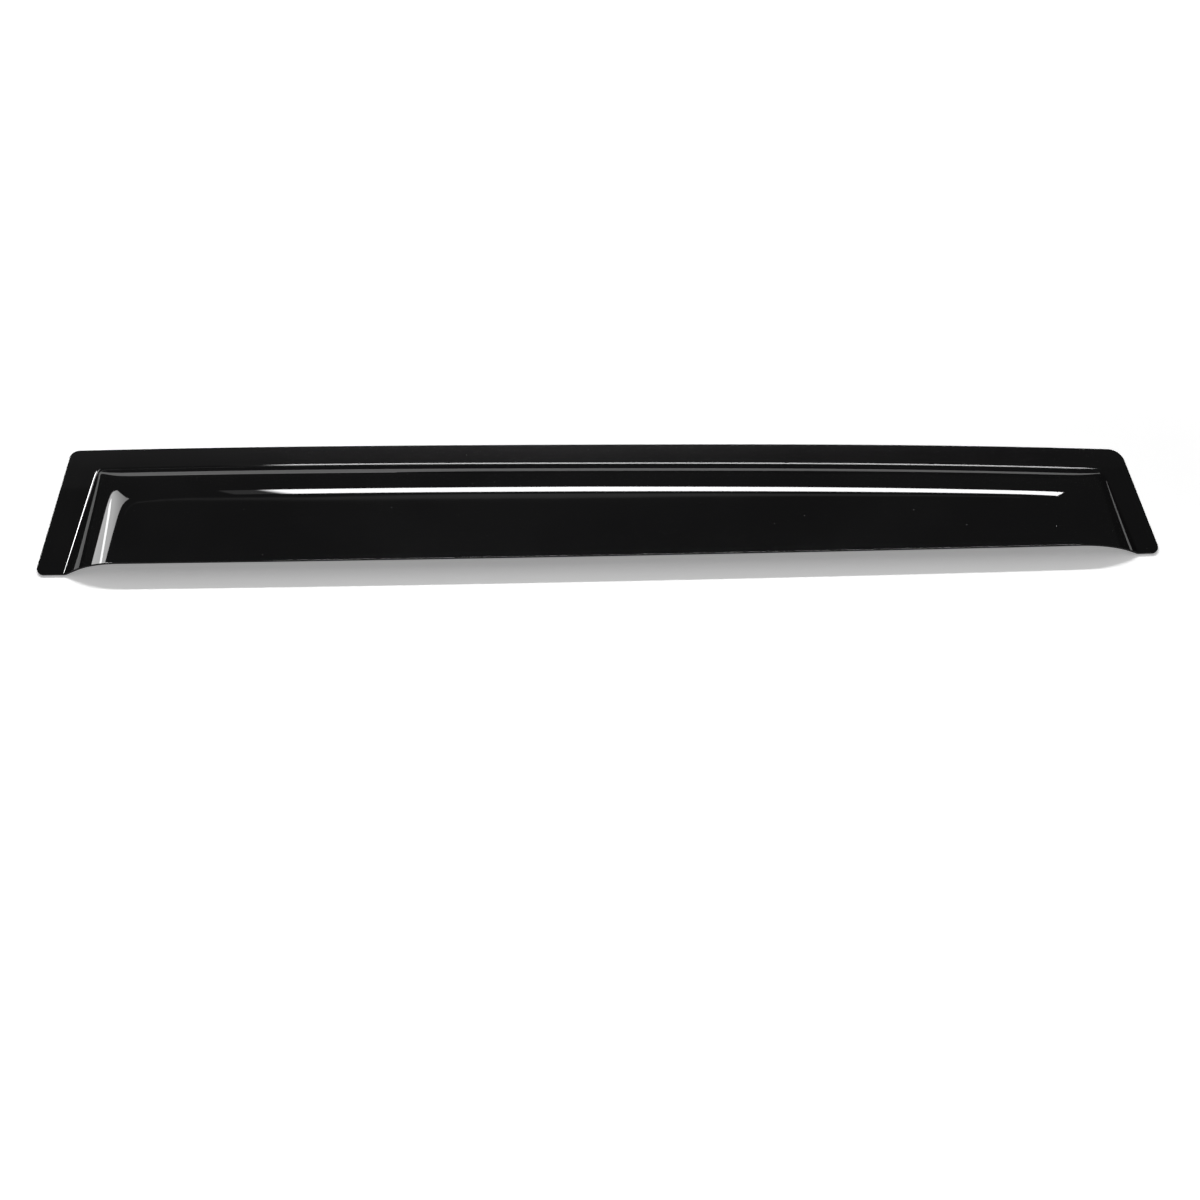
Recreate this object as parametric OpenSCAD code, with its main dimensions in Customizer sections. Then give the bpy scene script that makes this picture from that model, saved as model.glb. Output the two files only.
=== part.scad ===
// Window rain deflector: a stick-on visor for the top of a side door's window.
// It is one moulded acrylic sheet. A flat land runs along its top and down both
// ends, walls rise from the land, and the panel between them stands off the glass
// and slopes out to a free lower edge, so that air passes behind it. Strips of
// foam tape on the back of the land hold it, each under its release liner.
//
// X runs along the door from the tall end to the short end, and Y up the door.
// Z points away from the door, and Z = 0 is the back of the liners.

/* [Outline] */
// Length over the two lower corners
overall_length = 957; // [880:1:1040]
// Height of the tall end, from the lower line to its sharp upper corner
tall_height = 115; // [106:1:130]
// Height of the short end
short_height = 97; // [88:1:112]
// Lean of the tall end, outwards to the free edge, in degrees
tall_lean = 10.6; // [0:0.2:18]
// Lean of the short end, in degrees
short_lean = 13.2; // [0:0.2:18]
// Bow of the top edge above the straight line between its corners
top_bow = 5.5; // [0:0.5:10]
// How flat the middle of that bow is: 2 is a plain arc
top_bow_power = 2.7; // [2:0.1:4]
// How far that bow leans to the short end
top_bow_skew = 0.35; // [0:0.05:0.6]
// Bow of the free edge below the straight line between its corners
free_edge_bow = 2.2; // [0:0.2:4]
// Corner radius at the top of the tall end
tall_top_radius = 9; // [5:0.5:14]
// Corner radius at the top of the short end
short_top_radius = 15; // [5:0.5:16]
// Corner radius at the foot of each end
lower_radius = 5.5; // [3:0.5:9]

/* [Land] */
// Width of the land along the top, where it starts at the tall end
top_land = 17.1; // [16.5:0.1:24]
// Width of that land where it ends at the short end
top_land_short = 18.9; // [16.5:0.1:24]
// Width of the land down the tall end, at the free edge
tall_land = 23.6; // [18:0.1:30]
// Width of that land at the upper corner
tall_land_top = 26.6; // [18:0.1:30]
// Width of the land down the short end, at the free edge
short_land = 17.3; // [16.5:0.1:28]
// Width of that land at the upper corner
short_land_top = 20; // [16.5:0.5:28]

/* [Walls and panel] */
// Thickness of the acrylic sheet
sheet = 3; // [2:0.1:4]
// Chamfer on the sheet's cut edge
edge_break = 0.4; // [0.2:0.1:0.8]
// How far the panel stands out from the land at the free edge of the tall end
standoff = 24.5; // [22:0.5:28]
// Slope of the panel, which comes nearer to the glass towards the top, in degrees
panel_slope = 6.5; // [3:0.5:8]
// Steepest angle of the wall along the top, in degrees
top_angle = 41; // [34:1:48]
// Steepest angle of the tall end's wall, in degrees
tall_angle = 41; // [34:1:48]
// Steepest angle of the short end's wall, in degrees
short_angle = 39; // [34:1:48]
// Radius of the hollow where a wall rises from the land
foot_radius = 4; // [3:0.5:7]
// Radius of the fold where the top wall turns into the panel
top_fold_radius = 56; // [30:1:64]
// Radius of the fold at the tall end
tall_fold_radius = 56; // [30:1:74]
// Radius of the fold at the short end
short_fold_radius = 74; // [40:1:80]
// Radius of the foot line's corner at the tall end, seen from the front
tall_foot_corner = 5; // [3:0.5:9]
// Radius of the foot line's corner at the short end
short_foot_corner = 8; // [3:0.5:10]
// How tight that corner stays as it rises to the panel
corner_power = 8; // [4:0.5:10]

/* [Foam tape] */
// Width of the tape and its liner
tape_width = 12; // [9:0.5:12.5]
// Thickness of the foam tape
tape_thickness = 1; // [0.8:0.1:1.6]
// Thickness of the release liner
liner_thickness = 0.2; // [0.1:0.05:0.3]
// Distance from the edge of the sheet to the tape
tape_inset = 3; // [2:0.5:4]
// Distance from the sheet's sharp corners to the cut ends of the strips
tape_end_gap = 9; // [8:0.5:16]
// Gap between the top strip and the end strips
tape_joint_gap = 2; // [1:0.5:5]

/* [Hidden] */

shell_colour = "#101011";
tape_colour = "#5b5c5e";
liner_colour = "#b3201c";

// How many steps the shell's mesh takes across each of its bands
land_steps = 6;
foot_steps = 5;
wall_steps = 11;
panel_steps = 4;
length_steps = 15;
lower_steps = 4;
// How fast the steps of a land and of a wall grow
land_growth = 1.35;
wall_growth = 1.35;
// Depth of the band of fine rows at the free edge, in corner radii
lower_band_radii = 1.4;
// How often a point is put back on its column and its row
settle_turns = 4;
// Distance over which the surface's slope is measured
slope_probe = 0.02;
// Distance from a foot line below which a share stops growing
share_floor = 0.4;

function mix(a, b, t) = a + (b - a) * t;
function limit(v, low, high) = min(max(v, low), high);

// Outline, with the lower line on y = 0 and the middle of the length on x = 0.
// A leaning end's rounded corner lies a little inside its sharp one.
function corner_pull(lean) = lower_radius * (1 / cos(lean) + tan(lean) - 1);
tall_x = -overall_length / 2 - corner_pull(tall_lean);
short_x = overall_length / 2 + corner_pull(short_lean);
function tall_edge(y) = tall_x + y * tan(tall_lean);
function short_edge(y) = short_x - y * tan(short_lean);
tall_top_x = tall_edge(tall_height);
short_top_x = short_edge(short_height);

function bow_shape(t) = (1 - pow(abs(2 * t - 1), top_bow_power)) * (1 + top_bow_skew * (t - 0.5));
function along_top(x) = (x - tall_top_x) / (short_top_x - tall_top_x);
function top_edge(x) = mix(tall_height, short_height, along_top(x))
    + top_bow * bow_shape(limit(along_top(x), 0, 1));
function along_bottom(x) = limit((x - tall_x) / (short_x - tall_x), 0, 1);
function free_edge(x) = -free_edge_bow * (1 - pow(2 * along_bottom(x) - 1, 2));

// Widths of the lands at a place along them
function top_land_at(x) = mix(top_land, top_land_short, pow(limit(along_top(x), 0, 1), 2));
function tall_land_at(y) = mix(tall_land, tall_land_top, y / tall_height);
function short_land_at(y) = mix(short_land, short_land_top, y / short_height);

// Distances from a point to the three foot lines, where the walls start
function below_top(p) = top_edge(p.x) - p.y;
function from_top_foot(p) = below_top(p) - top_land_at(p.x);
function from_tall_foot(p) = (p.x - tall_edge(p.y)) * cos(tall_lean) - tall_land_at(p.y);
function from_short_foot(p) = (short_edge(p.y) - p.x) * cos(short_lean) - short_land_at(p.y);

// The three distances join in one, whose lines of equal value have round corners.
// The corner radius is corner_share times the distance, plus the one at the foot.
corner_share = (pow(2, 1 / corner_power) - 1) * sqrt(2) / (sqrt(2) - 1);
function corner_lead(p) = mix(tall_foot_corner, short_foot_corner, limit(along_top(p.x), 0, 1))
    / corner_share;
function share(d, lead) = pow(max(d + lead, share_floor), -corner_power);

// Height of the panel's face above the land, as if it ran on to the land
function panel_height(p) = standoff - (tall_height - below_top(p)) * tan(panel_slope);

// Section of a wall at distance d from its foot: a hollow of foot_radius, a straight
// stretch at the angle steep, and a fold of radius fold that meets the panel. The panel
// starts at height h over the foot and rises at the angle slope along the section.
function wall_section(d, h, slope, steep, fold) =
    let (reach = foot_radius + fold)
    let (full_angle = slope + acos(((foot_radius - h) * cos(slope) + fold) / reach))
    let (a = min(steep, full_angle))
    let (curves = reach * (cos(a) + sin(a) * tan(slope)) - foot_radius - fold / cos(slope))
    let (straight = max((h + curves) / (sin(a) - cos(a) * tan(slope)), 0))
    let (foot_end = foot_radius * sin(a))
    let (fold_start = foot_end + straight * cos(a))
    let (fold_end = fold_start + fold * (sin(a) - sin(slope)))
    let (panel_z = h + fold_end * tan(slope))
    d <= 0 ? 0
    : d < foot_end ? foot_radius - sqrt(foot_radius * foot_radius - d * d)
    : d < fold_start ? foot_radius * (1 - cos(a)) + (d - foot_end) * tan(a)
    : d < fold_end ? panel_z - fold * cos(slope)
        + sqrt(fold * fold - pow(fold_end - d + fold * sin(slope), 2))
    : h + d * tan(slope);

// Height of the sheet's front face above the land, at a point seen from the front.
// Each wall's angle and fold count there by its share.
function relief(p) =
    let (from_foot = [from_top_foot(p), from_tall_foot(p), from_short_foot(p)])
    let (lead = corner_lead(p))
    let (weights = [for (distance = from_foot) share(distance, lead)])
    let (total = weights * [1, 1, 1])
    let (d = pow(total, -1 / corner_power) - lead)
    let (slope = panel_slope * weights[0] / total)
    let (steep = weights * [top_angle, tall_angle, short_angle] / total)
    let (fold = weights * [top_fold_radius, tall_fold_radius, short_fold_radius] / total)
    min(from_foot) <= 0 || d <= 0 ? 0
    : wall_section(d, panel_height(p) - d * tan(slope), slope, steep, fold);

function unit(v) = v / norm(v);
function front_normal(p) = unit([
    relief([p.x - slope_probe, p.y]) - relief([p.x + slope_probe, p.y]),
    relief([p.x, p.y - slope_probe]) - relief([p.x, p.y + slope_probe]),
    2 * slope_probe]);
land_front = liner_thickness + tape_thickness + sheet;
function front_point(p) = [p.x, p.y, land_front + relief(p)];

// Stations across a band that starts at an edge: the land, the foot and the wall
function land_stations(width) = [for (k = [1 : land_steps]) edge_break
    + (width - edge_break) * pow(k / land_steps, land_growth)];
function foot_stations(width, steep) = [for (k = [1 : foot_steps]) width
    + foot_radius * sin(steep * k / foot_steps)];
function wall_stations(width, steep, span) =
    let (start = foot_radius * sin(steep))
    [for (k = [1 : wall_steps]) width + start + (span - start) * pow(k / wall_steps, wall_growth)];
function edge_stations(width, steep, span) = concat([0, edge_break], land_stations(width),
    foot_stations(width, steep), wall_stations(width, steep, span));

// A station moves with the foot line where its land is wider than at the start
function widened(d, land, land_here) = d <= edge_break ? d
    : d < land ? d * land_here / land : d + land_here - land;

// Widths of the walls, from the foot line to the panel
function wall_width(h, slope, steep, fold) = (foot_radius + fold) * sin(steep) - fold * sin(slope)
    + max(h - (foot_radius + fold) * (1 - cos(steep)), 0) / tan(steep);
tall_wall = wall_width(standoff, 0, tall_angle, tall_fold_radius);
short_wall = wall_width(standoff, 0, short_angle, short_fold_radius);
panel_at_top = standoff - (tall_height - top_land) * tan(panel_slope);
top_wall = wall_width(panel_at_top, panel_slope, top_angle, top_fold_radius) + foot_radius;

// Columns run across the sheet and rows run along it. A column is a distance from
// the tall end, then a share of the middle, then a distance from the short end.
tall_columns = edge_stations(tall_land, tall_angle, tall_wall);
short_columns = edge_stations(short_land, short_angle, short_wall);
n_tall = len(tall_columns);
n_short = len(short_columns);
n_columns = n_tall + n_short + length_steps - 1;
function tall_column_x(i, y) = tall_edge(y)
    + widened(tall_columns[i], tall_land, tall_land_at(y)) / cos(tall_lean);
function short_column_x(i, y) = short_edge(y)
    - widened(short_columns[i], short_land, short_land_at(y)) / cos(short_lean);
function column_x(i, y) = i < n_tall ? tall_column_x(i, y)
    : i < n_tall + length_steps - 1
        ? mix(tall_column_x(n_tall - 1, y), short_column_x(n_short - 1, y), (i - n_tall + 1) / length_steps)
    : short_column_x(n_columns - 1 - i, y);

top_rows = edge_stations(top_land, top_angle, top_wall);
lower_band = lower_band_radii * lower_radius;
lower_rows = concat([0, edge_break],
    [for (k = [1 : lower_steps]) edge_break + lower_band * k / lower_steps]);
n_top = len(top_rows);
n_rows = n_top + len(lower_rows) + panel_steps - 1;
function top_row_y(j, x) = top_edge(x) - widened(top_rows[j], top_land, top_land_at(x));
function row_y(j, x) =
    let (lower_end = free_edge(x) + lower_rows[len(lower_rows) - 1])
    j < n_top ? top_row_y(j, x)
    : j < n_top + panel_steps - 1 ? mix(top_row_y(n_top - 1, x), lower_end, (j - n_top + 1) / panel_steps)
    : free_edge(x) + lower_rows[n_rows - 1 - j];

// Where a column meets a row: each step puts the point back on one, then the other
function settle(i, j, p, turns) = turns == 0 ? p
    : let (x = column_x(i, p.y)) settle(i, j, [x, row_y(j, x)], turns - 1);
function crossing(i, j) = settle(i, j, [0, tall_height / 2], settle_turns);

// The outline's corners, as [sharp corner, radius, outward direction of each edge].
// The top and free edges are taken as straight over the radius of their corner.
tall_out = [-cos(tall_lean), sin(tall_lean)];
short_out = [cos(short_lean), sin(short_lean)];
function across(a, b, side) = side * unit([a.y - b.y, b.x - a.x]);
corners = [
    let (s = [tall_top_x, tall_height], e = [s.x + tall_top_radius, top_edge(s.x + tall_top_radius)])
        [s, tall_top_radius, tall_out, across(s, e, 1)],
    let (s = [short_top_x, short_height], e = [s.x - short_top_radius, top_edge(s.x - short_top_radius)])
        [s, short_top_radius, short_out, across(s, e, -1)],
    let (s = [tall_x, 0], e = [s.x + lower_radius, free_edge(s.x + lower_radius)])
        [s, lower_radius, tall_out, across(s, e, -1)],
    let (s = [short_x, 0], e = [s.x - lower_radius, free_edge(s.x - lower_radius)])
        [s, lower_radius, short_out, across(s, e, 1)]];

// Draws in what lies between a corner's two edges and its circle's centre, so that
// the edges land on the circle
function round_off(p, corner) =
    let (a = corner[2], b = corner[3])
    let (centre = corner[0] - corner[1] * (a + b) / (1 + a * b))
    let (v = p - centre)
    cross(a, v) * cross(a, b) > 0 && cross(b, v) * cross(b, a) > 0
        ? centre + v * max(a * v, b * v) / norm(v) : p;
function round_all(p, k = 0) = k == len(corners) ? p : round_all(round_off(p, corners[k]), k + 1);

// The shell's points: the front face, then the back face at the sheet's thickness
// behind it. Points on the outline are drawn in by the chamfer.
function on_outline(i, j) = i == 0 || j == 0 || i == n_columns - 1 || j == n_rows - 1;
grid = [for (j = [0 : n_rows - 1]) for (i = [0 : n_columns - 1]) round_all(crossing(i, j))];
normals = [for (p = grid) front_normal(p)];
chamfer = [for (j = [0 : n_rows - 1]) for (i = [0 : n_columns - 1]) on_outline(i, j) ? edge_break : 0];
n_points = len(grid);
front_face = [for (k = [0 : n_points - 1]) front_point(grid[k]) - normals[k] * chamfer[k]];
back_face = [for (k = [0 : n_points - 1]) front_point(grid[k]) - normals[k] * (sheet - chamfer[k])];
shell_points = concat(front_face, back_face);

// Each cell is two triangles, split along the line that runs towards its corner
function cell(i, j) = let (k = j * n_columns + i) [k, k + 1, k + 1 + n_columns, k + n_columns];
function halves(c, to_first) = to_first ? [[c[0], c[1], c[2]], [c[0], c[2], c[3]]]
    : [[c[1], c[2], c[3]], [c[1], c[3], c[0]]];
front_cells = [for (j = [0 : n_rows - 2]) for (i = [0 : n_columns - 2])
    each halves(cell(i, j), (i < n_columns / 2) == (j < n_top))];
back_cells = [for (f = front_cells) [f[2] + n_points, f[1] + n_points, f[0] + n_points]];
edge_loop = concat([for (i = [0 : n_columns - 2]) i],
    [for (j = [0 : n_rows - 2]) (j + 1) * n_columns - 1],
    [for (i = [n_columns - 1 : -1 : 1]) (n_rows - 1) * n_columns + i],
    [for (j = [n_rows - 1 : -1 : 1]) j * n_columns]);
edge_cells = [for (k = [0 : len(edge_loop) - 1])
    let (p = edge_loop[k], q = edge_loop[(k + 1) % len(edge_loop)])
    each halves([q, p, p + n_points, q + n_points], true)];

// The part's origin is under the middle of its outline
outline_x = [for (p = shell_points) p.x];
outline_y = [for (p = shell_points) p.y];
middle = [(min(outline_x) + max(outline_x)) / 2, (min(outline_y) + max(outline_y)) / 2];
module placed(z) {
    translate([-middle.x, -middle.y, z]) children();
}

// Plan of the strips, which the tape and the liners share
tape_steps = 24;
tape_inner = tape_inset + tape_width;
function top_strip_x(k) = mix(tall_top_x + tape_end_gap, short_top_x - tape_end_gap, k / tape_steps);
module top_strip() {
    outer_line = [for (k = [0 : tape_steps]) [top_strip_x(k), top_edge(top_strip_x(k)) - tape_inset]];
    inner_line = [for (k = [tape_steps : -1 : 0]) [top_strip_x(k), top_edge(top_strip_x(k)) - tape_inner]];
    polygon(concat(outer_line, inner_line));
}
function strip_top(x) = top_edge(x) - tape_inner - tape_joint_gap;
function tall_line(d, y) = [tall_edge(y) + d / cos(tall_lean), y];
function short_line(d, y) = [short_edge(y) - d / cos(short_lean), y];
module tall_strip() {
    polygon([tall_line(tape_inset, tape_end_gap), tall_line(tape_inner, tape_end_gap),
        tall_line(tape_inner, strip_top(tall_top_x + tape_inner)),
        tall_line(tape_inset, strip_top(tall_top_x + tape_inset))]);
}
module short_strip() {
    polygon([short_line(tape_inset, tape_end_gap), short_line(tape_inner, tape_end_gap),
        short_line(tape_inner, strip_top(short_top_x - tape_inner)),
        short_line(tape_inset, strip_top(short_top_x - tape_inset))]);
}

module foam() {
    placed(liner_thickness) linear_extrude(tape_thickness) children();
}
module film() {
    placed(0) linear_extrude(liner_thickness) children();
}

module deflector_shell() {
    color(shell_colour) placed(0)
        polyhedron(points = shell_points, faces = concat(front_cells, back_cells, edge_cells));
}
module tape_top() {
    color(tape_colour) foam() top_strip();
}
module tape_tall_end() {
    color(tape_colour) foam() tall_strip();
}
module tape_short_end() {
    color(tape_colour) foam() short_strip();
}
module liner_top() {
    color(liner_colour) film() top_strip();
}
module liner_tall_end() {
    color(liner_colour) film() tall_strip();
}
module liner_short_end() {
    color(liner_colour) film() short_strip();
}

deflector_shell();
tape_top();
tape_tall_end();
tape_short_end();
liner_top();
liner_tall_end();
liner_short_end();
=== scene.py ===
from math import acos, cos, pi, radians, sin, sqrt, tan

import bmesh
import bpy
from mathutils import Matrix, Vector


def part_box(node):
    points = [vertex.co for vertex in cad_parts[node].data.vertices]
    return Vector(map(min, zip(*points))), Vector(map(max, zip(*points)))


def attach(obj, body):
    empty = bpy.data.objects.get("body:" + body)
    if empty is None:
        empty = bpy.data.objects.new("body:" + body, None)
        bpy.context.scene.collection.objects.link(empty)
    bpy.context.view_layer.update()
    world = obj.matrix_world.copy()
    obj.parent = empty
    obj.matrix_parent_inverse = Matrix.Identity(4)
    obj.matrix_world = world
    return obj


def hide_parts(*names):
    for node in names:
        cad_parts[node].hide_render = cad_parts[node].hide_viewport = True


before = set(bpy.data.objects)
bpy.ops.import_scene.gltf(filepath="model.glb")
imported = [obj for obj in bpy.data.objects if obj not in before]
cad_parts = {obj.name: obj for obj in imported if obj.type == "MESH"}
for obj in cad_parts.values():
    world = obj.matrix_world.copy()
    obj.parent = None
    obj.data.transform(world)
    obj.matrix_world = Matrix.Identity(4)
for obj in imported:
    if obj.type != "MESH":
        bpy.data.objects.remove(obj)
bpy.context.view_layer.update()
mm = 0.001

# The moulded sheet. It is worked out face up in its own plan, x along the door and
# y up it from the lower line, and then centred on the frame's shell.
shellForm = {
    "length": 956.9 * mm, "tallHeight": 115 * mm, "shortHeight": 97 * mm,
    "tallLean": radians(10.6), "shortLean": radians(13.2),
    "topBow": 5.47 * mm, "topBowPower": 2.7, "topBowSkew": 0.35, "freeEdgeBow": 2.2 * mm,
    "tallTopRadius": 9 * mm, "shortTopRadius": 15 * mm, "lowerRadius": 5.5 * mm,
    "topLand": 17.1 * mm, "topLandShort": 18.9 * mm,
    "tallLand": 23.6 * mm, "tallLandTop": 26.6 * mm,
    "shortLand": 17.3 * mm, "shortLandTop": 20 * mm,
    "sheet": 3 * mm, "rimRounding": 0.3 * mm,
    "standoff": 24.487 * mm, "panelSlope": radians(6.5), "footRadius": 4 * mm,
    "topAngle": radians(41), "tallAngle": radians(41), "shortAngle": radians(39),
    "topFold": 56 * mm, "tallFold": 56 * mm, "shortFold": 74 * mm,
    "tallFootCorner": 5 * mm, "shortFootCorner": 8 * mm, "cornerPower": 8,
    # how finely it is meshed: cells across each land, foot, wall, and the middle
    "landCells": 16, "footCells": 12, "wallCells": 40, "middleCells": 64, "panelCells": 16,
    "lowerCells": 8, "lowerReach": 1.6,  # the fine lower rows reach this many lower radii up
    "wallGrowth": 1.15,  # above 1, a wall's cells grow from its foot to the panel
    "crossingSteps": 4, "rimLoop": 0.42 * mm, "rimSegments": 3,
}
form = shellForm  # its short name in the formulas


def clamp(value, low, high):
    return min(max(value, low), high)


def mix(a, b, share):
    return a + (b - a) * share


# Outline of the sheet, seen from the front
def cornerPull(lean):
    return form["lowerRadius"] * (1 / cos(lean) + tan(lean) - 1)


tallFoot = -form["length"] / 2 - cornerPull(form["tallLean"])
shortFoot = form["length"] / 2 + cornerPull(form["shortLean"])


def tallEdge(y):
    return tallFoot + y * tan(form["tallLean"])


def shortEdge(y):
    return shortFoot - y * tan(form["shortLean"])


tallTop, shortTop = tallEdge(form["tallHeight"]), shortEdge(form["shortHeight"])


def topEdge(x):
    along = (x - tallTop) / (shortTop - tallTop)
    inside = clamp(along, 0, 1)
    bow = 1 - abs(2 * inside - 1) ** form["topBowPower"]
    bow *= 1 + form["topBowSkew"] * (inside - 0.5)
    return mix(form["tallHeight"], form["shortHeight"], along) + form["topBow"] * bow


def freeEdge(x):
    along = clamp((x - tallFoot) / (shortFoot - tallFoot), 0, 1)
    return -form["freeEdgeBow"] * (1 - (2 * along - 1) ** 2)


# The top land widens to the short end, and the ends' lands widen upwards
def topLandAt(x):
    along = clamp((x - tallTop) / (shortTop - tallTop), 0, 1)
    return mix(form["topLand"], form["topLandShort"], along ** 2)


def tallLandAt(y):
    return mix(form["tallLand"], form["tallLandTop"], y / form["tallHeight"])


def shortLandAt(y):
    return mix(form["shortLand"], form["shortLandTop"], y / form["shortHeight"])


# Section of a wall: a hollow foot, a straight stretch, and a fold that meets the panel
def wallSection(d, height, slope, steep, fold):
    foot = form["footRadius"]
    fullAngle = slope + acos(((foot - height) * cos(slope) + fold) / (foot + fold))
    angle = min(steep, fullAngle)
    curves = (foot + fold) * (cos(angle) + sin(angle) * tan(slope)) - foot - fold / cos(slope)
    straight = max((height + curves) / (sin(angle) - cos(angle) * tan(slope)), 0)
    footEnd = foot * sin(angle)
    foldStart = footEnd + straight * cos(angle)
    foldEnd = foldStart + fold * (sin(angle) - sin(slope))
    if d <= 0:
        return 0
    if d < footEnd:
        return foot - sqrt(foot ** 2 - d ** 2)
    if d < foldStart:
        return foot * (1 - cos(angle)) + (d - footEnd) * tan(angle)
    if d < foldEnd:
        top = height + foldEnd * tan(slope) - fold * cos(slope)
        return top + sqrt(fold ** 2 - (foldEnd - d + fold * sin(slope)) ** 2)
    return height + d * tan(slope)


# Height of the front face above the land. The three foot distances join in one,
# whose lines of equal value have round corners.
cornerShare = (2 ** (1 / form["cornerPower"]) - 1) * sqrt(2) / (sqrt(2) - 1)


def relief(x, y):
    below = topEdge(x) - y
    dTop = below - topLandAt(x)
    dTall = (x - tallEdge(y)) * cos(form["tallLean"]) - tallLandAt(y)
    dShort = (shortEdge(y) - x) * cos(form["shortLean"]) - shortLandAt(y)
    if min(dTop, dTall, dShort) <= 0:
        return 0
    power = form["cornerPower"]
    along = clamp((x - tallTop) / (shortTop - tallTop), 0, 1)
    lead = mix(form["tallFootCorner"], form["shortFootCorner"], along) / cornerShare
    shares = [(distance + lead) ** -power for distance in (dTop, dTall, dShort)]
    total = sum(shares)
    d = total ** (-1 / power) - lead
    if d <= 0:
        return 0
    top, tall, short = [share / total for share in shares]
    slope = form["panelSlope"] * top
    steep = form["topAngle"] * top + form["tallAngle"] * tall + form["shortAngle"] * short
    fold = form["topFold"] * top + form["tallFold"] * tall + form["shortFold"] * short
    panel = form["standoff"] - (form["tallHeight"] - below) * tan(form["panelSlope"])
    return wallSection(d, panel - d * tan(slope), slope, steep, fold)


# Stations across a band that starts at an edge: the rim, the land, the foot, the wall
def edgeStations(land, wall, steep):
    footSpan = form["footRadius"] * sin(steep)
    stations = [0]
    for k in range(form["landCells"] + 1):
        stations.append(mix(form["rimLoop"], land, k / form["landCells"]))
    for k in range(1, form["footCells"] + 1):
        stations.append(land + footSpan * k / form["footCells"])
    for k in range(1, form["wallCells"] + 1):
        share = (k / form["wallCells"]) ** form["wallGrowth"]
        stations.append(mix(land + footSpan, land + wall, share))
    return stations


def wallWidth(height, slope, steep, fold):
    reach = form["footRadius"] + fold
    straight = max(height - reach * (1 - cos(steep)), 0) / tan(steep)
    return reach * sin(steep) - fold * sin(slope) + straight


tallWall = wallWidth(form["standoff"], 0, form["tallAngle"], form["tallFold"])
shortWall = wallWidth(form["standoff"], 0, form["shortAngle"], form["shortFold"])
panelAtTop = form["standoff"] - (form["tallHeight"] - form["topLand"]) * tan(form["panelSlope"])
topWall = wallWidth(panelAtTop, form["panelSlope"], form["topAngle"], form["topFold"])
tallColumns = edgeStations(form["tallLand"], tallWall, form["tallAngle"])
shortColumns = edgeStations(form["shortLand"], shortWall, form["shortAngle"])
topRows = edgeStations(form["topLand"], topWall + form["footRadius"], form["topAngle"])
lowerBand = form["lowerReach"] * form["lowerRadius"]
lowerRows = [0] + [mix(form["rimLoop"], lowerBand, k / form["lowerCells"])
                   for k in range(form["lowerCells"] + 1)]
columnCount = len(tallColumns) + len(shortColumns) + form["middleCells"] - 1
rowCount = len(topRows) + len(lowerRows) + form["panelCells"] - 1


# A station moves with its foot line where the land is wider
def widened(station, land, landHere):
    return station * landHere / land if station < land else station + landHere - land


def tallColumnX(i, y):
    station = widened(tallColumns[i], form["tallLand"], tallLandAt(y))
    return tallEdge(y) + station / cos(form["tallLean"])


def shortColumnX(i, y):
    station = widened(shortColumns[i], form["shortLand"], shortLandAt(y))
    return shortEdge(y) - station / cos(form["shortLean"])


def columnX(i, y):
    tallEnd, shortEnd = tallColumnX(-1, y), shortColumnX(-1, y)
    if i < len(tallColumns):
        return tallColumnX(i, y)
    if i < len(tallColumns) + form["middleCells"] - 1:
        return mix(tallEnd, shortEnd, (i - len(tallColumns) + 1) / form["middleCells"])
    return shortColumnX(columnCount - 1 - i, y)


def topRowY(j, x):
    return topEdge(x) - widened(topRows[j], form["topLand"], topLandAt(x))


def rowY(j, x):
    if j < len(topRows):
        return topRowY(j, x)
    lowerEnd = freeEdge(x) + lowerRows[-1]
    if j < len(topRows) + form["panelCells"] - 1:
        share = (j - len(topRows) + 1) / form["panelCells"]
        return mix(topRowY(-1, x), lowerEnd, share)
    return freeEdge(x) + lowerRows[rowCount - 1 - j]


# Where a column meets a row: the point is put on one, then the other, a few times
def crossing(i, j):
    x, y = 0, form["tallHeight"] / 2
    for step in range(form["crossingSteps"]):
        x = columnX(i, y)
        y = rowY(j, x)
    return Vector((x, y))


# A rounded corner of the outline: its circle's centre and the outward directions of the
# two edges, from the sharp corner, the radius and the side on which its edge runs on
def outlineCorner(x, y, radius, side, out, edge):
    inner = Vector((x + side * radius, edge(x + side * radius)))
    run = inner - Vector((x, y))
    across = Vector((-run.y, run.x)).normalized()
    if edge is freeEdge:
        across = across if across.y < 0 else -across
    else:
        across = across if across.y > 0 else -across
    centre = Vector((x, y)) - radius * (out + across) / (1 + out.dot(across))
    return {"centre": centre, "a": out, "b": across}


tallOut = Vector((-cos(form["tallLean"]), sin(form["tallLean"])))
shortOut = Vector((cos(form["shortLean"]), sin(form["shortLean"])))
outlineCorners = [
    outlineCorner(tallTop, form["tallHeight"], form["tallTopRadius"], 1, tallOut, topEdge),
    outlineCorner(shortTop, form["shortHeight"], form["shortTopRadius"], -1, shortOut, topEdge),
    outlineCorner(tallFoot, 0, form["lowerRadius"], 1, tallOut, freeEdge),
    outlineCorner(shortFoot, 0, form["lowerRadius"], -1, shortOut, freeEdge),
]


def cross2(a, b):
    return a.x * b.y - a.y * b.x


# What lies between a corner's two edges and its circle's centre is drawn in to the circle
def roundOff(point):
    for corner in outlineCorners:
        a, b = corner["a"], corner["b"]
        v = point - corner["centre"]
        if cross2(a, v) * cross2(a, b) > 0 and cross2(b, v) * cross2(b, a) > 0:
            point = corner["centre"] + v * max(a.dot(v), b.dot(v)) / v.length
    return point


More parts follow.
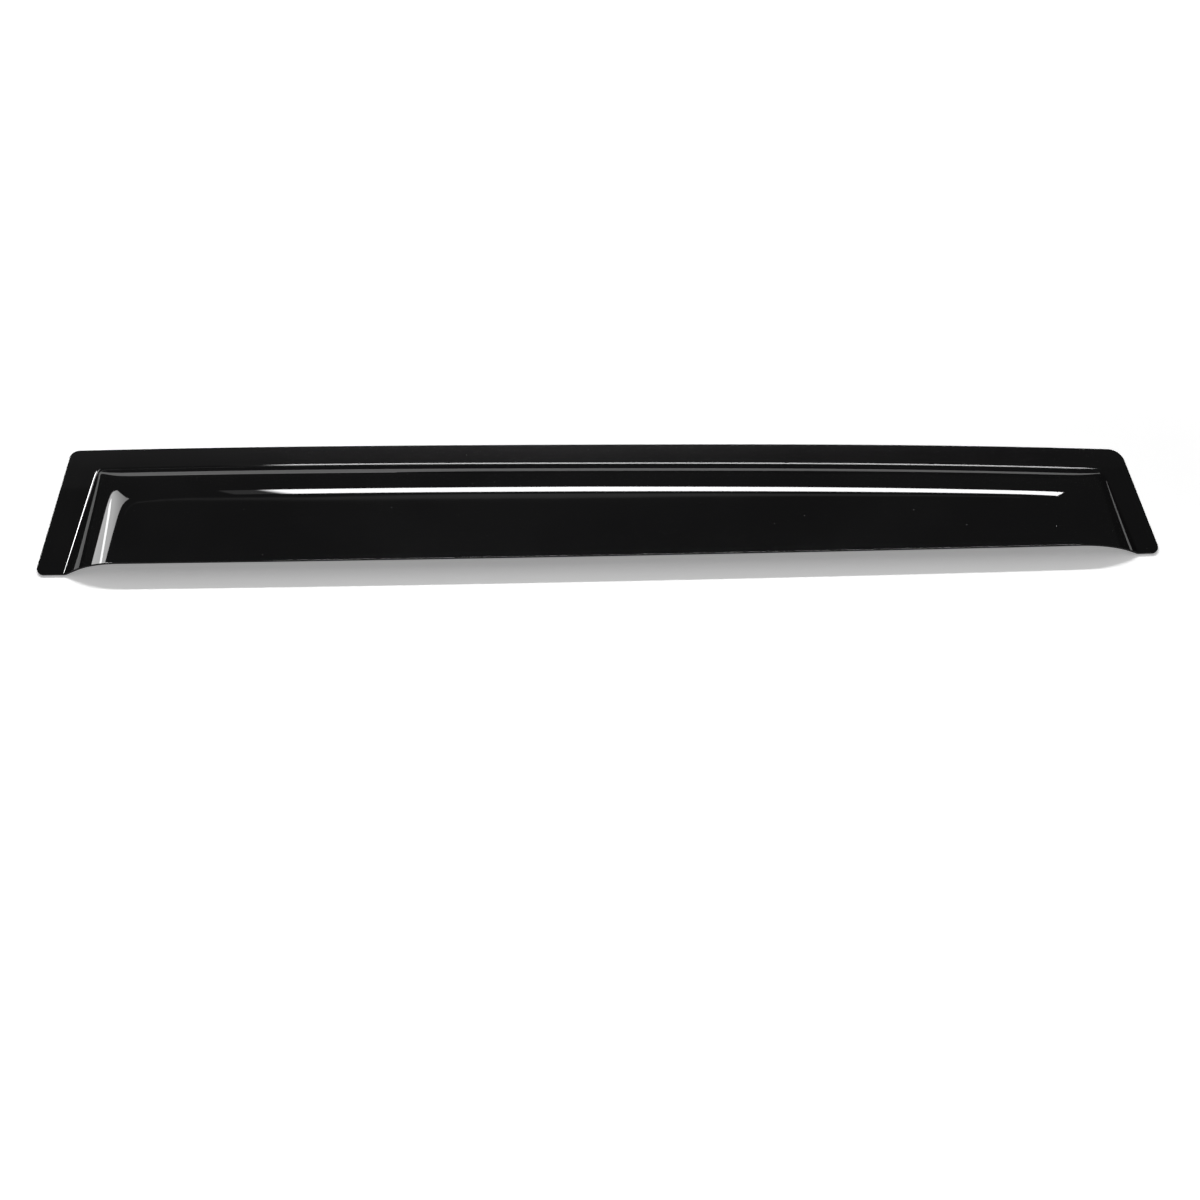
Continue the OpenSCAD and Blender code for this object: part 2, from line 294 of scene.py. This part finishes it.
def finishPiece(name, bm, materials, node):
    mesh = bpy.data.meshes.new(name)
    bm.to_mesh(mesh)
    bm.free()
    piece = bpy.data.objects.new(name, mesh)
    bpy.context.scene.collection.objects.link(piece)
    for material in materials:
        mesh.materials.append(material)
    for face in mesh.polygons:
        face.use_smooth = True
    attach(piece, "root")
    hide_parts(node)
    return piece


# The shift that centres the sheet on the frame's shell, once it has its full thickness;
# the strips of tape take the same
def planShift(bm):
    low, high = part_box("deflector_shell")
    middle = (low + high) / 2
    xs = [v.co.x for v in bm.verts]
    ys = [v.co.y for v in bm.verts]
    return Vector((middle.x - (min(xs) + max(xs)) / 2, middle.y - (min(ys) + max(ys)) / 2, low.z))


def makeShell(materials):
    bm = bmesh.new()
    bmesh.ops.create_grid(bm, x_segments=columnCount - 1, y_segments=rowCount - 1, size=0.5)
    for v in bm.verts:
        i = round((v.co.x + 0.5) * (columnCount - 1))
        j = round((0.5 - v.co.y) * (rowCount - 1))
        point = roundOff(crossing(i, j))
        v.co = (point.x, point.y, form["sheet"] + relief(point.x, point.y))
    frontFaces = set(bm.faces)
    bmesh.ops.solidify(bm, geom=list(bm.faces), thickness=form["sheet"])
    rimFaces = {f for f in bm.faces if f not in frontFaces
                and any(g in frontFaces for e in f.edges for g in e.link_faces)}
    rimEdges = [e for e in bm.edges if len([f for f in e.link_faces if f in rimFaces]) == 1]
    for f in rimFaces:
        f.material_index = 1  # the cut edge, and below its roundings
    rounding = bmesh.ops.bevel(bm, geom=rimEdges, offset=form["rimRounding"],
                               offset_type="OFFSET", segments=form["rimSegments"], profile=0.5,
                               affect="EDGES", material=-1, clamp_overlap=True)
    for f in rounding["faces"]:
        f.material_index = 1
    bmesh.ops.recalc_face_normals(bm, faces=bm.faces)
    shift = planShift(bm)
    bmesh.ops.translate(bm, vec=shift, verts=bm.verts)
    return finishPiece("acrylicSheet", bm, materials, "deflector_shell"), shift


# Strips of tape on the back of the land, each with its liner below it. A strip's place
# function gives a point of its plan from the shares along and across it.
stripForm = {"inset": 3 * mm, "width": 12 * mm, "endGap": 9 * mm, "jointGap": 2 * mm,
             "tape": 1 * mm, "liner": 0.2 * mm,
             "topCells": 180, "endCells": 22, "acrossCells": 6, "sharpAngle": radians(40),
             "foamRounding": 0.28 * mm, "linerRounding": 0.05 * mm, "roundingSegments": 3}


def topStripPoint(along, across):
    x = mix(tallTop + stripForm["endGap"], shortTop - stripForm["endGap"], along)
    return x, topEdge(x) - stripForm["inset"] - stripForm["width"] * across


def stripTop(x):
    return topEdge(x) - stripForm["inset"] - stripForm["width"] - stripForm["jointGap"]


def tallStripPoint(along, across):
    d = stripForm["inset"] + stripForm["width"] * across
    y = mix(stripForm["endGap"], stripTop(tallTop + d), along)
    return tallEdge(y) + d / cos(form["tallLean"]), y


def shortStripPoint(along, across):
    d = stripForm["inset"] + stripForm["width"] * across
    y = mix(stripForm["endGap"], stripTop(shortTop - d), along)
    return shortEdge(y) - d / cos(form["shortLean"]), y


def makeStrip(name, place, cells, bottom, thick, rounding, shift, material, node):
    bm = bmesh.new()
    bmesh.ops.create_grid(bm, x_segments=cells, y_segments=stripForm["acrossCells"], size=0.5)
    for v in bm.verts:
        x, y = place(v.co.x + 0.5, v.co.y + 0.5)
        v.co = (x + shift.x, y + shift.y, bottom)
    lower = list(bm.faces)
    raised = bmesh.ops.extrude_face_region(bm, geom=lower, use_keep_orig=True)["geom"]
    upper = [v for v in raised if isinstance(v, bmesh.types.BMVert)]
    bmesh.ops.translate(bm, vec=(0, 0, thick), verts=upper)
    bmesh.ops.recalc_face_normals(bm, faces=bm.faces)
    sharp = [e for e in bm.edges if e.calc_face_angle(0) > stripForm["sharpAngle"]]
    bmesh.ops.bevel(bm, geom=sharp, offset=rounding, segments=stripForm["roundingSegments"],
                    profile=0.5, affect="EDGES", material=-1, clamp_overlap=True)
    bmesh.ops.recalc_face_normals(bm, faces=bm.faces)
    return finishPiece(name, bm, [material], node)


def makeStrips(shift, foam, film):
    places = {"Top": (topStripPoint, "top", stripForm["topCells"]),
              "TallEnd": (tallStripPoint, "tall_end", stripForm["endCells"]),
              "ShortEnd": (shortStripPoint, "short_end", stripForm["endCells"])}
    for side, (place, node, cells) in places.items():
        makeStrip("foamTape" + side, place, cells, stripForm["liner"], stripForm["tape"],
                  stripForm["foamRounding"], shift, foam, "tape_" + node)
        makeStrip("linerFilm" + side, place, cells, 0, stripForm["liner"],
                  stripForm["linerRounding"], shift, film, "liner_" + node)


# A material with one shader, whose nodes the callers below add to
def newMaterial(name, kind="ShaderNodeBsdfPrincipled"):
    material = bpy.data.materials.new(name)
    material.use_nodes = True
    nodes, links = material.node_tree.nodes, material.node_tree.links
    nodes.clear()
    output = nodes.new("ShaderNodeOutputMaterial")
    shader = nodes.new(kind)
    links.new(shader.outputs[0], output.inputs["Surface"])
    return material, nodes, links, shader


# An empty node group with its sockets
def newGroup(name, inputs, outputs):
    group = bpy.data.node_groups.new(name, "ShaderNodeTree")
    for label, kind, value in inputs:
        socket = group.interface.new_socket(label, in_out="INPUT", socket_type=kind)
        if value is not None:
            socket.default_value = value
    for label, kind in outputs:
        group.interface.new_socket(label, in_out="OUTPUT", socket_type=kind)
    return group, group.nodes.new("NodeGroupInput"), group.nodes.new("NodeGroupOutput")


def addMath(nodes, links, operation, first, second):
    node = nodes.new("ShaderNodeMath")
    node.operation = operation
    for index, value in enumerate((first, second)):
        if isinstance(value, (int, float)):
            node.inputs[index].default_value = value
        else:
            links.new(value, node.inputs[index])
    return node.outputs[0]


def addRange(nodes, links, value, low, high, toLow, toHigh, kind="LINEAR"):
    node = nodes.new("ShaderNodeMapRange")
    node.interpolation_type = kind
    links.new(value, node.inputs["Value"])
    limits = {"From Min": low, "From Max": high, "To Min": toLow, "To Max": toHigh}
    for label, limit in limits.items():
        node.inputs[label].default_value = limit
    return node.outputs["Result"]


def addNoise(nodes, links, place, scale, detail, roughness=0.5):
    node = nodes.new("ShaderNodeTexNoise")
    links.new(place, node.inputs["Vector"])
    node.inputs["Scale"].default_value = scale
    node.inputs["Detail"].default_value = detail
    node.inputs["Roughness"].default_value = roughness
    return node.outputs["Fac"]


def addStretch(nodes, links, place, turn, scale):
    node = nodes.new("ShaderNodeMapping")
    links.new(place, node.inputs["Vector"])
    node.inputs["Rotation"].default_value = turn
    node.inputs["Scale"].default_value = scale
    return node.outputs["Vector"]


def addCells(nodes, links, place, scale):
    node = nodes.new("ShaderNodeTexVoronoi")
    links.new(place, node.inputs["Vector"])
    node.inputs["Scale"].default_value = scale
    return node.outputs


# Handling marks: hairline scratches three ways in patches, specks of dust, and soft smudges.
# Limits are the values of the pattern between which the mark fades in.
handlingMarks = {
    "hairs": [{"turn": 0.12, "scale": (9, 900, 9)}, {"turn": -0.35, "scale": (14, 1300, 14)},
              {"turn": 1.1, "scale": (700, 11, 11)}],
    "hairDetail": 2, "hairLimits": (0.72, 0.78),
    "patchScale": 22, "patchDetail": 2, "patchLimits": (0.5, 0.62),
    "dustScale": 160, "dustLimits": (0.035, 0.05), "emptyCells": 0.88,
    "smudgeScale": 14, "smudgeDetail": 5, "smudgeRoughness": 0.6, "smudgeLimits": (0.45, 0.75)}


def makeMarksGroup():
    marks = handlingMarks
    group, source, result = newGroup(
        "handlingMarks", [("Place", "NodeSocketVector", None)],
        [(label, "NodeSocketFloat") for label in ("Scratches", "Dust", "Smudges")])
    nodes, links = group.nodes, group.links
    place = source.outputs["Place"]
    scratches = 0
    for hair in marks["hairs"]:
        along = addStretch(nodes, links, place, (0, 0, hair["turn"]), hair["scale"])
        streaks = addNoise(nodes, links, along, 1, marks["hairDetail"])
        streaks = addRange(nodes, links, streaks, *marks["hairLimits"], 0, 1)
        scratches = addMath(nodes, links, "MAXIMUM", scratches, streaks)
    patches = addNoise(nodes, links, place, marks["patchScale"], marks["patchDetail"])
    patches = addRange(nodes, links, patches, *marks["patchLimits"], 0, 1)
    scratches = addMath(nodes, links, "MULTIPLY", scratches, patches)
    links.new(scratches, result.inputs["Scratches"])
    cells = addCells(nodes, links, place, marks["dustScale"])
    speck = addRange(nodes, links, cells["Distance"], *marks["dustLimits"], 1, 0)
    chosen = nodes.new("ShaderNodeSeparateColor")
    links.new(cells["Color"], chosen.inputs["Color"])
    few = addMath(nodes, links, "GREATER_THAN", chosen.outputs[0], marks["emptyCells"])
    links.new(addMath(nodes, links, "MULTIPLY", speck, few), result.inputs["Dust"])
    smudge = addNoise(nodes, links, place, marks["smudgeScale"], marks["smudgeDetail"],
                      marks["smudgeRoughness"])
    smudge = addRange(nodes, links, smudge, *marks["smudgeLimits"], 0, 1, "SMOOTHSTEP")
    links.new(smudge, result.inputs["Smudges"])
    return group


# Unevenness of a surface: a height in metres of long waves and a fine grain
def makeUnevenGroup():
    group, source, result = newGroup(
        "unevenness",
        [("Place", "NodeSocketVector", None),
         ("Wave Scale", "NodeSocketFloat", 20), ("Wave Height", "NodeSocketFloat", 0),
         ("Grain Scale", "NodeSocketFloat", 300), ("Grain Height", "NodeSocketFloat", 0)],
        [("Height", "NodeSocketFloat")])
    nodes, links = group.nodes, group.links
    sums = []
    for label in ("Wave", "Grain"):
        noise = nodes.new("ShaderNodeTexNoise")
        noise.inputs["Detail"].default_value = 1
        links.new(source.outputs["Place"], noise.inputs["Vector"])
        links.new(source.outputs[label + " Scale"], noise.inputs["Scale"])
        height = source.outputs[label + " Height"]
        sums.append(addMath(nodes, links, "MULTIPLY", noise.outputs["Fac"], height))
    links.new(addMath(nodes, links, "ADD", *sums), result.inputs["Height"])
    return group


marksGroup = makeMarksGroup()
unevenGroup = makeUnevenGroup()


def objectPlace(nodes):
    return nodes.new("ShaderNodeTexCoord").outputs["Object"]


def addMarks(nodes, links, place):
    node = nodes.new("ShaderNodeGroup")
    node.node_tree = marksGroup
    links.new(place, node.inputs["Place"])
    return node.outputs


def addUneven(nodes, links, place, settings):
    node = nodes.new("ShaderNodeGroup")
    node.node_tree = unevenGroup
    links.new(place, node.inputs["Place"])
    node.inputs["Wave Scale"].default_value = settings["waveScale"]
    node.inputs["Wave Height"].default_value = settings["waveHeight"]
    node.inputs["Grain Scale"].default_value = settings["grainScale"]
    node.inputs["Grain Height"].default_value = settings["grainHeight"]
    return node.outputs["Height"]


def addBump(nodes, links, height, shader):
    bump = nodes.new("ShaderNodeBump")
    bump.inputs["Strength"].default_value = 1
    bump.inputs["Distance"].default_value = 1
    links.new(height, bump.inputs["Height"])
    links.new(bump.outputs["Normal"], shader.inputs["Normal"])


# Mixes two colours, each a fixed one or a node's; a colour mix has its own sockets
colourInputs, colourOutput = (6, 7), 2


def addMix(nodes, links, share, first, second):
    node = nodes.new("ShaderNodeMix")
    node.data_type = "RGBA"
    links.new(share, node.inputs["Factor"])
    for index, colour in zip(colourInputs, (first, second)):
        if isinstance(colour, tuple):
            node.inputs[index].default_value = colour
        else:
            links.new(colour, node.inputs[index])
    return node.outputs[colourOutput]


# Broad soft clouds, for a slow change of colour
def addCloud(nodes, links, place, look):
    cloud = addNoise(nodes, links, place, look["cloudScale"], look["cloudDetail"])
    return addRange(nodes, links, cloud, *look["cloudLimits"], 0, 1)


# Smoke-black acrylic, polished on both faces
glossAcrylic = {"colour": (0.0069, 0.0069, 0.0071, 1), "deep": (0.0056, 0.0056, 0.0058, 1),
                "cloudScale": 9, "cloudDetail": 3, "cloudLimits": (0.4, 0.6),
                "dust": (0.06, 0.06, 0.058, 1), "ior": 1.5,
                "roughness": 0.024, "smudged": 0.034, "scratched": 0.03, "dusty": 0.25,
                "waveScale": 26, "waveHeight": 7e-6, "grainScale": 340, "grainHeight": 1.2e-7}


def makeGlossAcrylic():
    look = glossAcrylic
    material, nodes, links, shader = newMaterial("glossAcrylic")
    place = objectPlace(nodes)
    marks = addMarks(nodes, links, place)
    cloud = addCloud(nodes, links, place, look)
    body = addMix(nodes, links, cloud, look["colour"], look["deep"])
    dusted = addMix(nodes, links, marks["Dust"], body, look["dust"])
    links.new(dusted, shader.inputs["Base Color"])
    rough = addRange(nodes, links, marks["Smudges"], 0, 1, look["roughness"], look["smudged"])
    scratch = addMath(nodes, links, "MULTIPLY", marks["Scratches"], look["scratched"])
    dust = addMath(nodes, links, "MULTIPLY", marks["Dust"], look["dusty"])
    rough = addMath(nodes, links, "ADD", addMath(nodes, links, "ADD", rough, scratch), dust)
    links.new(rough, shader.inputs["Roughness"])
    shader.inputs["IOR"].default_value = look["ior"]
    addBump(nodes, links, addUneven(nodes, links, place, look), shader)
    return material


# The sheet's cut edge, with the fine upright lines that the cutter leaves
cutEdge = {"colour": (0.005, 0.005, 0.0052, 1), "line": (0.011, 0.011, 0.0115, 1),
           "gloss": 0.03, "roughness": 0.38, "lineRoughness": 0.55, "smudgePolish": 0.1,
           "lineScale": (2600, 2600, 120), "lineDetail": 2, "lineLimits": (0.35, 0.65),
           "lineHeight": 1.5e-5, "waveScale": 300, "waveHeight": 8e-6,
           "grainScale": 2200, "grainHeight": 3e-6}


def makeCutEdge():
    look = cutEdge
    material, nodes, links, shader = newMaterial("cutEdge")
    place = objectPlace(nodes)
    upright = addStretch(nodes, links, place, (0, 0, 0), look["lineScale"])
    lines = addNoise(nodes, links, upright, 1, look["lineDetail"])
    lines = addRange(nodes, links, lines, *look["lineLimits"], 0, 1)
    lined = addMix(nodes, links, lines, look["colour"], look["line"])
    links.new(lined, shader.inputs["Base Color"])
    marks = addMarks(nodes, links, place)
    rough = addRange(nodes, links, lines, 0, 1, look["roughness"], look["lineRoughness"])
    polish = addMath(nodes, links, "MULTIPLY", marks["Smudges"], look["smudgePolish"])
    links.new(addMath(nodes, links, "SUBTRACT", rough, polish), shader.inputs["Roughness"])
    shader.inputs["Specular IOR Level"].default_value = look["gloss"]
    height = addMath(nodes, links, "MULTIPLY", lines, look["lineHeight"])
    height = addMath(nodes, links, "ADD", height, addUneven(nodes, links, place, look))
    addBump(nodes, links, height, shader)
    return material


# Closed-cell foam: grey, matt, with small pores that show most on its cut sides. The pores are
# coloured darker than the foam, which is painted shade in their hollows.
tapeFoam = {"colour": (0.11, 0.11, 0.115, 1), "poreShadeColour": (0.028, 0.028, 0.03, 1),
            "pale": (0.16, 0.16, 0.165, 1), "roughness": 0.86,
            "cloudScale": 120, "cloudDetail": 3, "cloudLimits": (0.35, 0.65),
            "poreScale": 2300, "poreLimits": (0.15, 0.42), "poreHeight": 6e-5,
            "waveScale": 90, "waveHeight": 2e-5, "grainScale": 1500, "grainHeight": 8e-6}


def makeTapeFoam():
    look = tapeFoam
    material, nodes, links, shader = newMaterial("tapeFoam")
    place = objectPlace(nodes)
    cells = addCells(nodes, links, place, look["poreScale"])
    wall = addRange(nodes, links, cells["Distance"], *look["poreLimits"], 0, 1, "SMOOTHSTEP")
    body = addMix(nodes, links, addCloud(nodes, links, place, look), look["colour"], look["pale"])
    # painted shade: the hollow of each pore is coloured darker than the foam round it
    links.new(addMix(nodes, links, wall, look["poreShadeColour"], body), shader.inputs["Base Color"])
    shader.inputs["Roughness"].default_value = look["roughness"]
    height = addMath(nodes, links, "MULTIPLY", wall, look["poreHeight"])
    height = addMath(nodes, links, "ADD", height, addUneven(nodes, links, place, look))
    addBump(nodes, links, height, shader)
    return material


# Red release film, satin, a little wrinkled and rubbed
linerFilm = {"colour": (0.46, 0.018, 0.014, 1), "worn": (0.56, 0.06, 0.05, 1),
             "dust": (0.55, 0.5, 0.48, 1), "roughness": 0.27, "roughWorn": 0.47, "ior": 1.57,
             "waveScale": 60, "waveHeight": 8e-5, "grainScale": 900, "grainHeight": 2e-6}


def makeLinerFilm():
    look = linerFilm
    material, nodes, links, shader = newMaterial("linerFilm")
    place = objectPlace(nodes)
    marks = addMarks(nodes, links, place)
    body = addMix(nodes, links, marks["Scratches"], look["colour"], look["worn"])
    dusted = addMix(nodes, links, marks["Dust"], body, look["dust"])
    links.new(dusted, shader.inputs["Base Color"])
    worn = addMath(nodes, links, "MAXIMUM", marks["Scratches"], marks["Smudges"])
    rough = addRange(nodes, links, worn, 0, 1, look["roughness"], look["roughWorn"])
    links.new(rough, shader.inputs["Roughness"])
    shader.inputs["IOR"].default_value = look["ior"]
    addBump(nodes, links, addUneven(nodes, links, place, look), shader)
    return material


# Camera, at the photograph's angle: above the part and a little in front of it
cameraPlace = {"lookAt": Vector((0.00032, -0.0884, 0.0002)), "distance": 1.4802,
               "elevation": radians(70), "heading": radians(1.206), "lens": 52.38,
               "sensor": 36, "farthest": 100}


def makeCamera():
    data = bpy.data.cameras.new("camera")
    data.lens = cameraPlace["lens"]
    data.sensor_width = cameraPlace["sensor"]
    data.clip_end = cameraPlace["farthest"]
    camera = bpy.data.objects.new("camera", data)
    bpy.context.scene.collection.objects.link(camera)
    heading, elevation = cameraPlace["heading"], cameraPlace["elevation"]
    level = cameraPlace["distance"] * cos(elevation)
    rise = cameraPlace["distance"] * sin(elevation)
    ahead = Vector((sin(heading), cos(heading), 0))
    camera.location = cameraPlace["lookAt"] - ahead * level + Vector((0, 0, rise))
    camera.rotation_euler = (pi / 2 - elevation, 0, -heading)
    bpy.context.scene.camera = camera


# Stage: a white table in a dim tent, lamps, and low dark cards round the part
def newStage(name, bm, material):
    mesh = bpy.data.meshes.new(name)
    bm.to_mesh(mesh)
    bm.free()
    mesh.materials.append(material)
    thing = bpy.data.objects.new(name, mesh)
    bpy.context.scene.collection.objects.link(thing)
    return thing


# The camera and the shadows pass through the tent, the lamps and the cards
def hideStage(thing, diffuse=True, glossy=True):
    thing.visible_camera = False
    thing.visible_shadow = False
    thing.visible_diffuse = diffuse
    thing.visible_glossy = glossy


def emissionMaterial(name, level=1):
    material, nodes, links, emission = newMaterial(name, "ShaderNodeEmission")
    emission.inputs["Strength"].default_value = level
    return material, nodes, links, emission


# A matt white sheet of paper. What the camera and the reflections see of it also glows,
# the more the farther it lies from the part, and the part's shadow stays on it.
table = {"radius": 14, "segments": 96, "albedo": 0.9, "nearGlow": 0.305, "farGlow": 1.1,
         "glowStretch": (0.25, 1, 1), "glowStart": 0.10, "glowEnd": 0.45}


def seenDirectly(nodes, links):
    path = nodes.new("ShaderNodeLightPath").outputs
    seen = addMath(nodes, links, "MAXIMUM", path["Is Camera Ray"], path["Is Glossy Ray"])
    return addMath(nodes, links, "MAXIMUM", seen, path["Is Transmission Ray"])


def makeTable():
    material, nodes, links, emission = emissionMaterial("tableWhite")
    diffuse = nodes.new("ShaderNodeBsdfDiffuse")
    diffuse.inputs["Color"].default_value = (table["albedo"],) * 3 + (1,)
    both = nodes.new("ShaderNodeAddShader")
    links.new(diffuse.outputs["BSDF"], both.inputs[0])
    links.new(emission.outputs["Emission"], both.inputs[1])
    links.new(both.outputs["Shader"], nodes["Material Output"].inputs["Surface"])
    far = nodes.new("ShaderNodeVectorMath")
    far.operation = "LENGTH"
    stretch = addStretch(nodes, links, objectPlace(nodes), (0, 0, 0), table["glowStretch"])
    links.new(stretch, far.inputs[0])
    glow = addRange(nodes, links, far.outputs["Value"], table["glowStart"], table["glowEnd"],
                    table["nearGlow"], table["farGlow"], "SMOOTHSTEP")
    glow = addMath(nodes, links, "MULTIPLY", glow, seenDirectly(nodes, links))
    links.new(glow, emission.inputs["Strength"])
    bm = bmesh.new()
    bmesh.ops.create_circle(bm, cap_ends=True, radius=table["radius"], segments=table["segments"])
    newStage("table", bm, material)


# The tent is the dim room that the gloss mirrors wherever no lamp is
tent = {"radius": 15, "segments": 48, "rings": 24, "level": 0.03}


def makeTent():
    bm = bmesh.new()
    bmesh.ops.create_uvsphere(bm, u_segments=tent["segments"], v_segments=tent["rings"],
                              radius=tent["radius"])
    hideStage(newStage("tent", bm, emissionMaterial("tentDark", tent["level"])[0]))


# Each lamp is a sheet between a lower and an upper line of points. A fade multiplies its
# level along an axis, between two places, from one share to another. Most lamps are seen
# by the gloss alone, and the matte one lights the table and casts the shadow.
lamps = {
    # the long white strip on the panel
    "stripLamp": {"lower": [(-0.6, 1, 0.905), (-0.53, 1, 0.9), (0, 1, 0.835),
                            (0.45, 1, 0.862), (0.845, 1, 0.9)],
                  "upper": [(-0.62, 1, 1.22), (-0.54, 1, 1.225), (0, 1, 1.168),
                            (0.45, 1, 1.16), (0.845, 1, 1.14)],
                  "level": 24, "seenBy": "gloss", "fades": [("X", -0.54, -0.51, 0.02, 1)]},
    # the thin bright line in the top wall's foot
    "overLamp": {"lower": [(-0.58, 0.8, 1.38), (0.925, 0.8, 1.38)],
                 "upper": [(-0.58, 0.8, 1.52), (0.925, 0.8, 1.53)],
                 "level": 55, "seenBy": "gloss", "fades": [("X", -0.58, -0.52, 0.25, 1)]},
    "shadowLamp": {"lower": [(-0.8, 0.8, 1.82), (0.38, 0.8, 1.82)],
                   "upper": [(-0.8, 0.8, 1.96), (0.38, 0.8, 1.96)],
                   "level": 151, "seenBy": "matte"},
    "ceilingLamp": {"lower": [(-1, -0.5, 2), (1, -0.5, 2)], "upper": [(-1, 0.7, 2), (1, 0.7, 2)],
                    "level": 1.4, "seenBy": "all"},
    # the pale patch on the tall end's wall, and the streak down it
    "softLamp": {"lower": [(-2, 1, 0.69), (-1.55, 1, 0.762), (-1.11, 1, 0.785)],
                 "upper": [(-1.9, 1, 1.37), (-1.5, 1, 1.285), (-0.895, 1, 1.165)],
                 "level": 8.5, "seenBy": "gloss", "fades": [("X", -1.4, -0.93, 1, 0.45)]},
    "streakLamp": {"lower": [(-1.58, 0.99, 0.82), (-1.48, 0.99, 0.82)],
                   "upper": [(-1.665, 0.99, 1.14), (-1.555, 0.99, 1.14)],
                   "level": 21, "seenBy": "gloss"},
    # the bright line in the tall wall's foot; higher up, it would show in the tall land
    "endLamp": {"lower": [(-1.85, 1, 1.6), (-1.2, 1, 1.6)],
                "upper": [(-1.85, 1, 2.3), (-1.2, 1, 2.08)],
                "level": 62, "seenBy": "gloss"},
    # the faint line below the strip
    "faintLamp": {"lower": [(-0.95, 1, 1.348), (-0.5, 1, 1.366), (0, 1, 1.348), (0.8, 1, 1.368)],
                  "upper": [(-0.95, 1, 1.362), (-0.5, 1, 1.377), (0, 1, 1.386), (0.8, 1, 1.388)],
                  "level": 0.45, "seenBy": "gloss",
                  "fades": [("X", 0.2, 0.7, 1, 0.45), ("X", -0.95, -0.2, 0.3, 1)]},
    # for views from behind
    "frontLamp": {"lower": [(-1.5, -1.8, 1.25), (1.5, -1.8, 1.25)],
                  "upper": [(-1.5, -1.7, 1.5), (1.5, -1.7, 1.5)], "level": 9, "seenBy": "gloss"},
    # lifts the land a little over black
    "landGlow": {"lower": [(-1.3, 1, 1.98), (1.2, 1, 1.98)],
                 "upper": [(-1.3, 1, 2.2), (1.2, 1, 2.2)],
                 "level": 0.25, "seenBy": "gloss",
                 "fades": [("X", -0.9, 0, 0.5, 1), ("X", 0, 0.9, 1, 0.3),
                           ("Z", 2.03, 2.11, 1.3, 0.7)]},
}


def makeLamp(name):
    lamp = lamps[name]
    material, nodes, links, emission = emissionMaterial(name, lamp["level"])
    if "fades" in lamp:
        sides = nodes.new("ShaderNodeSeparateXYZ")
        links.new(objectPlace(nodes), sides.inputs[0])
        level = lamp["level"]
        for axis, start, end, startShare, endShare in lamp["fades"]:
            share = addRange(nodes, links, sides.outputs[axis], start, end, startShare, endShare)
            level = addMath(nodes, links, "MULTIPLY", share, level)
        links.new(level, emission.inputs["Strength"])
    lower, upper = lamp["lower"], lamp["upper"]
    bm = bmesh.new()
    bmesh.ops.create_grid(bm, x_segments=len(lower) - 1, y_segments=1, size=0.5)
    for v in bm.verts:
        index = round((v.co.x + 0.5) * (len(lower) - 1))
        v.co = upper[index] if v.co.y > 0 else lower[index]
    hideStage(newStage(name, bm, material), diffuse=lamp["seenBy"] != "gloss",
              glossy=lamp["seenBy"] != "matte")


# Low dark cards on the table, behind the short end and behind the tall one, end the white
# of the table in the reflections, and with it the grey lines in the feet of the walls
cards = {"height": 0.03, "level": 0.01,
         "runs": [[(0.503, -0.09), (0.512, -0.026), (0.523, 0.004), (0.544, 0.054), (0.56, 0.1),
                   (0.54, 0.17), (0.45, 0.145), (0.385, 0.15), (0, 0.25), (-0.12, 0.29),
                   (-0.19, 0.42), (-0.24, 0.7), (-0.27, 1)],
                  [(-0.56, -0.05), (-0.575, 0.02), (-0.6, 0.07), (-0.66, 0.14), (-0.78, 0.26),
                   (-1, 0.45)]]}


def makeCards():
    material = emissionMaterial("cardDark", cards["level"])[0]
    for index, run in enumerate(cards["runs"]):
        bm = bmesh.new()
        foot = [bm.verts.new((x, y, 0)) for x, y in run]
        edges = [bm.edges.new((a, b)) for a, b in zip(foot, foot[1:])]
        raised = bmesh.ops.extrude_edge_only(bm, edges=edges)["geom"]
        upper = [v for v in raised if isinstance(v, bmesh.types.BMVert)]
        bmesh.ops.translate(bm, vec=(0, 0, cards["height"]), verts=upper)
        hideStage(newStage("card" + str(index), bm, material), diffuse=False)


def makeWorld():
    world = bpy.data.worlds.new("white")
    bpy.context.scene.world = world
    world.use_nodes = True
    background = world.node_tree.nodes["Background"]
    background.inputs["Color"].default_value = (1, 1, 1, 1)
    background.inputs["Strength"].default_value = 1


bpy.context.scene.view_settings.view_transform = "Standard"
makeCamera()
makeWorld()
makeTable()
makeTent()
for lampName in lamps:
    makeLamp(lampName)
makeCards()
print("stage, lamps and camera are in place")

shell, shift = makeShell([makeGlossAcrylic(), makeCutEdge()])
print("sheet:", len(shell.data.polygons), "faces")
makeStrips(shift, makeTapeFoam(), makeLinerFilm())
print("tape and liners are in place")
